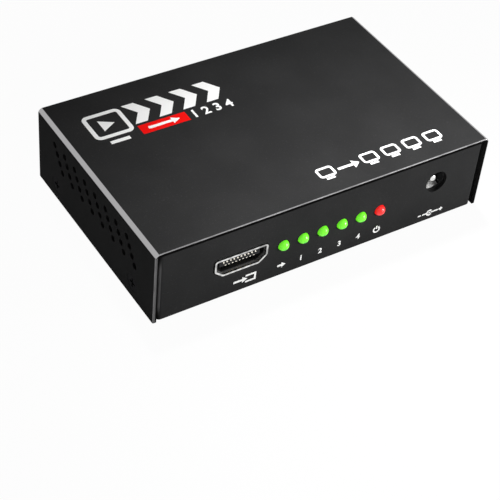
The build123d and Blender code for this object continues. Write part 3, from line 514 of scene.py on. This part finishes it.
tongueLook = {
    **plasticLooks["blackMoulding"],
    "specular": 0.1,
    # the contacts' tips: their metal, drawn near white as a painted highlight
    "tip": (0.95, 0.9, 0.78),
    "tipRoughness": 0.35,
    "tipPitch": 1.0,  # mm
    "tipSize": (0.4, 0.26),  # mm, across and up
    "nose": 1.2,  # mm behind the mouth, the part of the tongue that the contacts' tips show on
    "level": 10.1,  # mm above the floor, the tongue's middle
    "rows": [(9, -0.36), (10, 0.56)],  # contacts, and how far above the middle their tips are
}


# Dark plastic with the tips of the contacts: near-white rectangles at even steps on the tongue's nose,
# the tips' metal drawn paler as a painted highlight.
# The sockets stand at even steps too, so a position wrapped over one step is the offset from a socket.
def makeTongue(name, look, mouth, centre):
    finish = Finish(name)
    cloud = finish.noise(look["grain"] * plasticGrain["cloud"], detail=3)
    colour = finish.tint(cloud.between(*plasticGrain["cloudRange"]), look["colour"], look["paler"])
    offset = (finish.x - centre).math("WRAP", socketPitch / 2, -socketPitch / 2)
    wide, tall = look["tipSize"]
    pitch = look["tipPitch"]
    tips = 0
    for count, rise in look["rows"]:
        first = (count - 1) / 2 * pitch
        across = abs((offset + first).math("WRAP", pitch / 2, -pitch / 2))
        within = 1 - abs(offset).beyond(first + pitch / 2)
        up = abs(finish.z - (look["level"] + rise))
        tips = tips + (1 - across.beyond(wide / 2)) * (1 - up.beyond(tall / 2)) * within
    tips = tips * (1 - (mouth - abs(finish.y)).beyond(look["nose"]))
    return finish.surface(
        baseColor=finish.tint(tips, colour, look["tip"]),
        roughness=look["roughness"] + tips * (look["tipRoughness"] - look["roughness"]),
        specularIorLevel=look["specular"],
    )


contactBoxes = {port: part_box(f"hdmi_{port}_contacts") for port in ports}
socketMiddles = {port: (low[0] + high[0]) / 2 / millimetre for port, (low, high) in contactBoxes.items()}
socketPitch = socketMiddles["out_2"] - socketMiddles["out_1"]
paintNodes(makeTongue("inputTongue", tongueLook, inMouth, socketMiddles["in"]), "hdmi_in_insulator")
outputTongue = makeTongue("outputTongue", tongueLook, outMouth, socketMiddles["out_1"])
paintNodes(outputTongue, *[f"hdmi_{port}_insulator" for port in ports[1:]])

boardLook = {
    "mask": (0.006, 0.075, 0.028),
    "overCopper": (0.012, 0.15, 0.055),
    "trackPitch": 1.1,  # mm
    "trackLevel": (0.62, 0.06),  # of the ramp from 0 to 1 and back, and the softness
    "wander": 9.0,  # mm
    "wanderReach": 6,  # mm
    "area": 11.0,  # mm, the stretches that have tracks
    "areaLevel": (0.48, 0.02),
    "copperHeight": 0.03,  # mm
    "roughness": 0.3,
    "grain": 0.5,  # mm
    "swing": 0.1,  # of the roughness
    "specular": 0.5,
}


# Solder mask over copper: the tracks are thin bands of a diagonal ramp that noise makes wander.
def makeBoard(name, look):
    finish = Finish(name)
    wander = finish.noise(look["wander"], detail=1)
    ramp = (finish.x + finish.y + wander * look["wanderReach"]) / look["trackPitch"]
    track = ramp.math("PINGPONG", 1.0).beyond(*look["trackLevel"])
    area = finish.noise(look["area"], detail=0).beyond(*look["areaLevel"])
    copper = track * area
    return finish.surface(
        baseColor=finish.tint(copper, look["mask"], look["overCopper"]),
        roughness=look["roughness"] + finish.noise(look["grain"]) * look["swing"],
        specularIorLevel=look["specular"],
        normal=finish.bump(copper, look["copperHeight"]),
    )


paintNodes(makeBoard("boardMask", boardLook), "circuit_board")
print("plastics and board finished")


# lamps: diffused epoxy lenses, lit

lampLook = {
    "mist": 0.8,  # mm
    "mistShare": 0.2,
    "die": (-0.15, -0.45),  # mm from the lens's axis: across, up
    "dieRadius": 0.35,
    "dieSoft": 0.3,
    "dieShare": 0.8,
    "roughness": 0.3,
    "specular": 0.25,
    "coat": 0.5,
    "coatRoughness": 0.16,
    "glow": 0.85,
}
lampColours = {
    "green": {"deep": (0.015, 0.33, 0.004), "bright": (0.14, 0.72, 0.018)},
    "red": {"deep": (0.36, 0.004, 0.003), "bright": (0.78, 0.012, 0.01)},
}
greenLamps = ["led_in", "led_out_1", "led_out_2", "led_out_3", "led_out_4"]
lampMiddles = [np.mean(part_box(name), axis=0) / millimetre for name in [*greenLamps, "led_power"]]
lampPitch = lampMiddles[1][0] - lampMiddles[0][0]


# The lamps stand at even steps, so a position wrapped over one step is the offset from a lens's axis.
def makeLamp(name, colours):
    look = lampLook
    finish = Finish(name)
    across = (finish.x - float(lampMiddles[0][0])).math("WRAP", lampPitch / 2, -lampPitch / 2)
    up = finish.z - float(lampMiddles[0][2])
    across, up = across - look["die"][0], up - look["die"][1]
    reach = (across * across + up * up).math("SQRT")
    die = 1 - reach.beyond(look["dieRadius"], look["dieSoft"])
    mist = finish.noise(look["mist"], detail=1)
    shade = die * look["dieShare"] + mist * look["mistShare"]
    colour = finish.tint(shade, colours["bright"], colours["deep"])
    return finish.surface(
        baseColor=colour,
        roughness=look["roughness"],
        specularIorLevel=look["specular"],
        coatWeight=look["coat"],
        coatRoughness=look["coatRoughness"],
        emissionColor=colour,
        emissionStrength=look["glow"],
    )


paintNodes(makeLamp("lampGreen", lampColours["green"]), *greenLamps)
paintNodes(makeLamp("lampRed", lampColours["red"]), "led_power")
print("lamps finished")


# printed marks: thin layers of ink on the cover and the panels

inkLook = {
    "white": (0.94, 0.94, 0.93),
    "red": (0.82, 0.007, 0.006),
    "roughness": 0.5,
    "specular": 0.03,
    "speck": 0.25,  # mm
    "speckRange": (0.6, 0.85),
    "speckShare": 0.12,
    "speckShade": 0.6,  # of the ink's colour
    "swing": 0.1,  # of the roughness
    "height": 0.008,  # mm
    "depth": 0.03,  # mm of ink above the paint
    "sunk": 0.02,  # mm below it
    "sharpestMitre": 0.4,  # cosine below which a line's corner isn't drawn out further
    "roundSteps": 10,
    "arcSteps": 28,
    "bolder": 0.025,  # added to the numerals' outlines, in their own unit
}


# Ink with darker specks: fine noise places them and stirs roughness and normal
def makeInk(name, colour):
    finish = Finish(name)
    speck = finish.noise(inkLook["speck"], detail=2)
    darker = tuple(inkLook["speckShade"] * c for c in colour)
    shade = speck.between(*inkLook["speckRange"]) * inkLook["speckShare"]
    return finish.surface(
        baseColor=finish.tint(shade, colour, darker),
        roughness=inkLook["roughness"] + (speck - 0.5) * inkLook["swing"],
        specularIorLevel=inkLook["specular"],
        normal=finish.bump(speck, inkLook["height"]),
    )


inks = {name: makeInk(f"{name}Ink", inkLook[name]) for name in ("white", "red")}

# Where ink goes: each surface turns (across, up, out) in millimetres into a place.
faces = {
    "top": lambda u, v, w: (u, v, coverHigh[2] + w),
    "front": lambda u, v, w: (u, frontFace - w, v),
    "rear": lambda u, v, w: (-u, rearFace + w, v),
}


class InkSheet:  # shapes printed in one ink on one surface, gathered into one mesh
    def __init__(self, name, face, ink, lift=0.0):
        self.name = name
        self.lift = lift  # mm above the paint, for ink on ink
        self.face = face
        self.ink = ink
        self.points = []
        self.polygons = []
        self.count = 0

    # Points are rows of across, up and height, where height 0 is under the ink and 1 is its top.
    def add(self, points, polygons):
        self.points.append(np.asarray(points, float))
        self.polygons += [[self.count + int(i) for i in polygon] for polygon in polygons]
        self.count += len(points)

    # A filled outline, as a prism: the outline at the top and again at the bottom, walls between
    def area(self, outline):
        outline = np.asarray(outline, float)
        count = len(outline)
        ring = np.arange(count)
        after = np.roll(ring, -1)
        top = np.column_stack((outline, np.ones(count)))
        bottom = np.column_stack((outline, np.zeros(count)))
        walls = np.column_stack((ring, ring + count, after + count, after))
        self.add(np.vstack((top, bottom)), [ring, ring[::-1] + count, *walls])

    # A line of even width: the path moved half a width to each side along its mitred normals
    def band(self, path, width, closed=False):
        path = np.asarray(path, float)
        if closed:
            before, after = np.roll(path, 1, axis=0), np.roll(path, -1, axis=0)
        else:
            before = np.vstack((2 * path[0] - path[1], path[:-1]))
            after = np.vstack((path[1:], 2 * path[-1] - path[-2]))
        into = (path - before) / np.linalg.norm(path - before, axis=1)[:, None]
        outof = (after - path) / np.linalg.norm(after - path, axis=1)[:, None]
        normal = np.column_stack((-(into + outof)[:, 1], (into + outof)[:, 0]))
        normal /= np.linalg.norm(normal, axis=1)[:, None]
        flat = np.column_stack((-into[:, 1], into[:, 0]))
        reach = width / 2 / np.maximum(np.sum(normal * flat, axis=1), inkLook["sharpestMitre"])
        side = normal * reach[:, None]
        count = len(path)
        rows = [
            np.column_stack((path + side, np.ones(count))),
            np.column_stack((path - side, np.ones(count))),
            np.column_stack((path - side, np.zeros(count))),
            np.column_stack((path + side, np.zeros(count))),
        ]
        here = np.arange(count if closed else count - 1)
        there = (here + 1) % count
        quads = [
            (low * count + i, low * count + j, high * count + j, high * count + i)
            for low, high in ((1, 0), (2, 1), (3, 2), (0, 3))
            for i, j in zip(here, there)
        ]
        if not closed:
            last = count - 1
            quads += [(0, 3 * count, 2 * count, count)]
            quads += [(last, count + last, 2 * count + last, 3 * count + last)]
        self.add(np.vstack(rows), quads)

    def numeral(self, character, centre, height):  # a plain numeral with its middle at the centre
        curve = bpy.data.curves.new("numeral", "FONT")
        curve.body = character
        curve.extrude = 0.5  # only tells the top from the bottom
        curve.offset = inkLook["bolder"]
        text = bpy.data.objects.new("numeral", curve)
        bpy.context.scene.collection.objects.link(text)
        mesh = bpy.data.meshes.new_from_object(text.evaluated_get(bpy.context.evaluated_depsgraph_get()))
        points = np.empty(len(mesh.vertices) * 3)
        mesh.vertices.foreach_get("co", points)
        points = points.reshape(-1, 3)
        low, high = points.min(axis=0), points.max(axis=0)
        flat = (points[:, :2] - (low + high)[:2] / 2) * height / (high - low)[1] + np.array(centre)
        level = (points[:, 2] > 0).astype(float)
        self.add(np.column_stack((flat, level)), [list(polygon.vertices) for polygon in mesh.polygons])
        bpy.data.objects.remove(text)
        bpy.data.curves.remove(curve)
        bpy.data.meshes.remove(mesh)

    # Height 0 becomes the ink's underside, sunk in the paint, and height 1 its top above the paint
    def finish(self):
        points = np.vstack(self.points)
        out = self.lift + points[:, 2] * (inkLook["depth"] + inkLook["sunk"]) - inkLook["sunk"]
        placed = np.column_stack(faces[self.face](points[:, 0], points[:, 1], out)) * millimetre
        mesh = bpy.data.meshes.new(self.name)
        mesh.from_pydata(placed.tolist(), [], self.polygons)
        mesh.validate()
        piece = bpy.data.objects.new(self.name, mesh)
        piece.data.materials.append(inks[self.ink])
        bpy.context.scene.collection.objects.link(piece)
        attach(piece, "case")
        return piece


def rectangle(centre, width, height):  # each corner is half the sizes away from the centre
    signs = np.array(((-1, -1), (1, -1), (1, 1), (-1, 1)))
    return np.array(centre) + signs * np.array((width, height)) / 2


def roundedRectangle(centre, width, height, radius):  # four quarter turns about the corners' centres
    steps = np.linspace(0, math.pi / 2, inkLook["roundSteps"])
    signs = ((1, 1), (-1, 1), (-1, -1), (1, -1))
    turns = [steps + quarter * math.pi / 2 for quarter in range(len(signs))]
    inset = np.array((width / 2 - radius, height / 2 - radius))
    arcs = [
        np.array(sign) * inset + radius * np.column_stack((np.cos(turn), np.sin(turn)))
        for sign, turn in zip(signs, turns)
    ]
    return np.array(centre) + np.vstack(arcs)


def arc(centre, radius, start, stop, steps=inkLook["arcSteps"]):  # degrees, against the clock
    turn = np.radians(np.linspace(start, stop, steps))
    return np.array(centre) + radius * np.column_stack((np.cos(turn), np.sin(turn)))


# An arrow along +across: a bar and a triangle as one outline
def arrow(tail, length, look):
    x, y = tail
    neck = x + length - look["headLength"]
    bar, head = look["bar"] / 2, look["headWidth"] / 2
    return [
        (x, y - bar),
        (neck, y - bar),
        (neck, y - head),
        (x + length, y),
        (neck, y + head),
        (neck, y + bar),
        (x, y + bar),
    ]


screenLook = {"stand": 0.2, "foot": 0.5}  # shares: the stand of the height, its foot of the width


def screen(sheet, centre, width, height, line):  # a display in outline on a short stand
    x, y = centre
    stand = height * screenLook["stand"]
    frameSize = width - line, height - stand - line
    sheet.band(roundedRectangle((x, y + stand / 2), *frameSize, line), line, closed=True)
    sheet.area(rectangle((x, y - height / 2 + line / 2), width * screenLook["foot"], line))


# In the large field on the top: a display, four chevrons, and below them a red bar and four numerals
labelLook = {
    "left": -41.6,
    "right": -2.7,
    "low": 9.7,
    "high": 22.3,
    "screenShare": 0.28,  # of the field's width
    "line": 1.15,
    "play": (3.8, 4.4),  # the triangle on the display: width, height
    "gap": 0.9,
    "chevronBar": 3.5,
    "chevronPoint": 2.8,
    "barHeight": 3.6,
    "barShare": 0.5,  # of the room beside the display
    "arrowLength": 9.0,
    "arrow": {"bar": 0.9, "headLength": 2.2, "headWidth": 2.4},
    "numeral": 3.1,
    "numeralStart": 0.6,  # of a numeral's step, from the bar's end to the first numeral
    "count": 4,
}


# A bar that is as wide as bar along the bottom, and moved by point along it at half its height
def chevron(corner, height, bar, point):
    x, y = corner
    return [
        (x, y),
        (x + bar, y),
        (x + bar + point, y + height / 2),
        (x + bar, y + height),
        (x, y + height),
        (x + point, y + height / 2),
    ]


def printLabel(look):
    white = InkSheet("top_label_white", "top", "white")
    red = InkSheet("top_label_red", "top", "red")
    over = InkSheet("top_label_arrow", "top", "white", lift=inkLook["depth"])
    height = look["high"] - look["low"]
    screenWidth = (look["right"] - look["left"]) * look["screenShare"]
    x, y = look["left"] + screenWidth / 2, (look["low"] + look["high"]) / 2
    screen(white, (x, y), screenWidth, height, look["line"])
    wide, tall = look["play"]
    y += height * screenLook["stand"] / 2  # the middle of the display above its stand
    white.area([(x - wide / 2, y - tall / 2), (x + wide / 2, y), (x - wide / 2, y + tall / 2)])

    start = look["left"] + screenWidth + look["gap"]
    room = look["right"] - start
    foot = look["low"] + look["barHeight"] + look["gap"]
    step = (room - look["chevronBar"] - look["chevronPoint"]) / (look["count"] - 1)
    for place in range(look["count"]):
        corner = (start + place * step, foot)
        white.area(chevron(corner, look["high"] - foot, look["chevronBar"], look["chevronPoint"]))
    level = look["low"] + look["barHeight"] / 2
    barWidth = room * look["barShare"]
    red.area(rectangle((start + barWidth / 2, level), barWidth, look["barHeight"]))
    tail = (start + (barWidth - look["arrowLength"]) / 2, level)
    over.area(arrow(tail, look["arrowLength"], look["arrow"]))
    for place in range(look["count"]):
        share = (place + look["numeralStart"]) / look["count"]
        centre = start + barWidth + (room - barWidth) * share
        white.numeral(str(place + 1), (centre, level), look["numeral"])
    for sheet in (white, red, over):
        sheet.finish()


# A row of one display, an arrow and four displays, near the front edge of the top
rowLook = {
    "left": 0.7,
    "right": 38.5,
    "low": -25.9,
    "high": -21.3,
    "line": 0.66,
    "columns": 6,
    "screenShare": 0.78,  # of a column's width
    "arrowShare": 1.02,
    "arrowGap": 0.9,
    "arrow": {"bar": 0.792, "headLength": 1.9, "headWidth": 2.9},
}


def printRow(look):
    sheet = InkSheet("top_row_white", "top", "white")
    height = look["high"] - look["low"]
    middle = (look["low"] + look["high"]) / 2
    room = look["right"] - look["left"]
    column = room / look["columns"]
    width = column * look["screenShare"]
    step = (room - width) / (look["columns"] - 1)
    for place in (0, *range(2, look["columns"])):  # the arrow has the second column
        centre = (look["left"] + width / 2 + place * step, middle)
        screen(sheet, centre, width, height, look["line"])
    tail = (look["left"] + width + look["arrowGap"], middle)
    sheet.area(arrow(tail, column * look["arrowShare"], look["arrow"]))
    sheet.finish()


printLabel(labelLook)
printRow(rowLook)

# Small marks on the front panel, each under what it belongs to
frontLook = {
    "line": 0.42,
    "inputMark": (-23.2, 3.1),  # an arrow into an open box
    "inputArrow": {"bar": 0.65, "headLength": 1.5, "headWidth": 1.9},
    "inputArrowSpan": (-3.2, 0.8),
    "inputBoxSpan": (0.2, 3.0),
    "inputBoxHeight": 2.0,
    "inputBoxLine": 0.546,
    "lampMarkHeight": 3.3,
    "lampArrow": {"bar": 0.6, "headLength": 1.2, "headWidth": 1.7},
    "lampArrowLength": 2.4,
    "lampNumeral": 1.7,
    "powerRadius": 0.884,
    "powerOpening": (125, 415),  # degrees, the ring is open at its top
    "powerBar": (0.714, 1.054),  # middle above the ring's middle, and length
    "polarityMark": (33.7, 2.2),  # minus, ring, dot and plus in a row
    "ringRadius": 0.798,
    "ringOpening": (40, 320),
    "dotRadius": 0.285,
    "dotSteps": 20,
    "polarityBars": [(-3.23, 0.95), (-1.615, 1.425), (1.71, 2.565), (3.705, 1.14)],  # middle, length
}


def printFront(look):
    sheet = InkSheet("front_marks_white", "front", "white")
    line = look["line"]
    x, y = look["inputMark"]
    start, stop = look["inputArrowSpan"]
    sheet.area(arrow((x + start, y), stop - start, look["inputArrow"]))
    left, right = [x + end for end in look["inputBoxSpan"]]
    half = look["inputBoxHeight"] / 2
    box = [(left, y + half), (right, y + half), (right, y - half), (left, y - half)]
    sheet.band(box, look["inputBoxLine"])

    first, *numbered, last = [float(middle[0]) for middle in lampMiddles]
    level = look["lampMarkHeight"]
    length = look["lampArrowLength"]
    sheet.area(arrow((first - length / 2, level), length, look["lampArrow"]))
    for number, centre in enumerate(numbered, start=1):
        sheet.numeral(str(number), (centre, level), look["lampNumeral"])
    sheet.band(arc((last, level), look["powerRadius"], *look["powerOpening"]), line)
    rise, height = look["powerBar"]
    sheet.area(rectangle((last, level + rise), line, height))

    x, y = look["polarityMark"]
    sheet.band(arc((x, y), look["ringRadius"], *look["ringOpening"]), line)
    dot = arc((x, y), look["dotRadius"], 0, 360 - 360 / look["dotSteps"], look["dotSteps"])
    sheet.area(dot)
    for middle, length in look["polarityBars"]:
        sheet.area(rectangle((x + middle, y), length, line))
    middle, length = look["polarityBars"][-1]
    for side in (-1, 1):  # the plus's upright, in two halves
        centre = (x + middle, y + side * (length + line) / 4)
        sheet.area(rectangle(centre, line, (length - line) / 2))
    sheet.finish()


# Above each output at the rear: an arrow and the output's number
rearLook = {
    "level": 17.1,
    "width": 14.1,
    "arrowShare": 0.74,
    "arrow": {"bar": 0.8, "headLength": 1.9, "headWidth": 2.3},
    "numeral": 2.3,
    "numeralInset": 0.9,
}


def printRear(look):
    sheet = InkSheet("rear_marks_white", "rear", "white")
    for number, port in enumerate(ports[1:], start=1):
        low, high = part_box(f"hdmi_{port}_shell")
        middle = -(low[0] + high[0]) / 2 / millimetre
        left, right = middle - look["width"] / 2, middle + look["width"] / 2
        length = look["width"] * look["arrowShare"]
        sheet.area(arrow((left, look["level"]), length, look["arrow"]))
        sheet.numeral(str(number), (right - look["numeralInset"], look["level"]), look["numeral"])
    sheet.finish()


printFront(frontLook)
printRear(rearLook)
print("marks printed")


# studio: a pale floor and a white surround that the camera, gloss and glass see as white

studioLook = {
    "floorSize": 3.0,  # metres
    "floorDrop": 0.00002,  # metres below the case's underside
    "floorColour": (0.5, 0.5, 0.5),
    "floorWhite": 0.97,  # share of plain white that the camera sees over the lit floor
    "surround": 0.118,
    "softboxes": [
        {"name": "front", "place": (0.42, -0.46, 0.13), "size": 0.28, "power": 4.5, "gloss": True},
        {"name": "rear", "place": (0.16, 0.6, 0.07), "size": 0.25, "power": 4.2, "gloss": False},
        {"name": "left", "place": (-0.6, 0.04, 0.08), "size": 0.3, "power": 0.2, "gloss": False},
    ],
    "spot": {
        "place": (0.1, 0.22, 0.62),
        "target": (0.03, -0.1, 0.022),
        "power": 44.5,
        "angle": 24.4,  # degrees, across the whole cone
        "blend": 1.0,  # the share of the cone over which the light fades
        "radius": 0.04,
    },
    "target": (0.0, 0.0, 0.012),
}


def whiteRays(finish):  # 1 for rays from the camera, gloss or glass, 0 for the rest
    kinds = ("Is Camera Ray", "Is Glossy Ray", "Is Transmission Ray")
    camera, gloss, glass = [finish.node("ShaderNodeLightPath", out=kind) for kind in kinds]
    return camera.larger(gloss).larger(glass)


class Surround(Finish):  # the world's node tree, built with the same helpers
    def __init__(self):
        self.world = bpy.data.worlds.new("studio")
        self.world.use_nodes = True
        self.tree = self.world.node_tree
        self.tree.nodes.clear()


def placeLight(data, place, target, power):  # a light shines along its -Z, which is aimed at the target
    data.energy = power
    lamp = bpy.data.objects.new(data.name, data)
    aim = (Vector(target) - Vector(place)).to_track_quat("-Z", "Y")
    lamp.matrix_world = Matrix.Translation(place) @ aim.to_matrix().to_4x4()
    bpy.context.scene.collection.objects.link(lamp)
    return lamp


# Rays of the camera, gloss and glass see white, and all others a dim surround and a grey floor, so the
# background is white without more light on the object. A last mix makes the floor clear from below.
def makeStudio(look):
    surround = Surround()
    seen = whiteRays(surround)
    strength = seen * (1 - look["surround"]) + look["surround"]
    light = surround.node("ShaderNodeBackground", {}, {"Color": (1, 1, 1, 1), "Strength": strength})
    surround.node("ShaderNodeOutputWorld", {}, {"Surface": light})
    bpy.context.scene.world = surround.world

    mesh = bpy.data.meshes.new("floor")
    corners = rectangle((0, 0), look["floorSize"], look["floorSize"])
    mesh.from_pydata([(x, y, -look["floorDrop"]) for x, y in corners.tolist()], [], [(0, 1, 2, 3)])
    floor = bpy.data.objects.new("floor", mesh)
    bpy.context.scene.collection.objects.link(floor)
    finish = Finish("floor")
    lit = finish.node("ShaderNodeBsdfDiffuse", {}, {"Color": (*look["floorColour"], 1)})
    white = finish.node("ShaderNodeEmission", {}, {"Color": (1, 1, 1, 1), "Strength": 1.0})
    mask = whiteRays(finish) * look["floorWhite"]
    shown = finish.node("ShaderNodeMixShader", {}, {0: mask, 1: lit, 2: white})
    below = finish.node("ShaderNodeNewGeometry", out="Backfacing")
    clear = finish.node("ShaderNodeBsdfTransparent")
    shown = finish.node("ShaderNodeMixShader", {}, {0: below, 1: shown, 2: clear})
    finish.node("ShaderNodeOutputMaterial", {}, {"Surface": shown})
    floor.data.materials.append(finish.material)

    for box in look["softboxes"]:
        data = bpy.data.lights.new(box["name"], "AREA")
        data.size = box["size"]
        lamp = placeLight(data, box["place"], look["target"], box["power"])
        lamp.visible_glossy = box["gloss"]
    spot = look["spot"]
    data = bpy.data.lights.new("spot", "SPOT")
    data.spot_size = math.radians(spot["angle"])
    data.spot_blend = spot["blend"]
    data.shadow_soft_size = spot["radius"]
    lamp = placeLight(data, spot["place"], spot["target"], spot["power"])
    lamp.visible_glossy = False  # no streak along the bends' painted highlight


makeStudio(studioLook)
print("studio set")
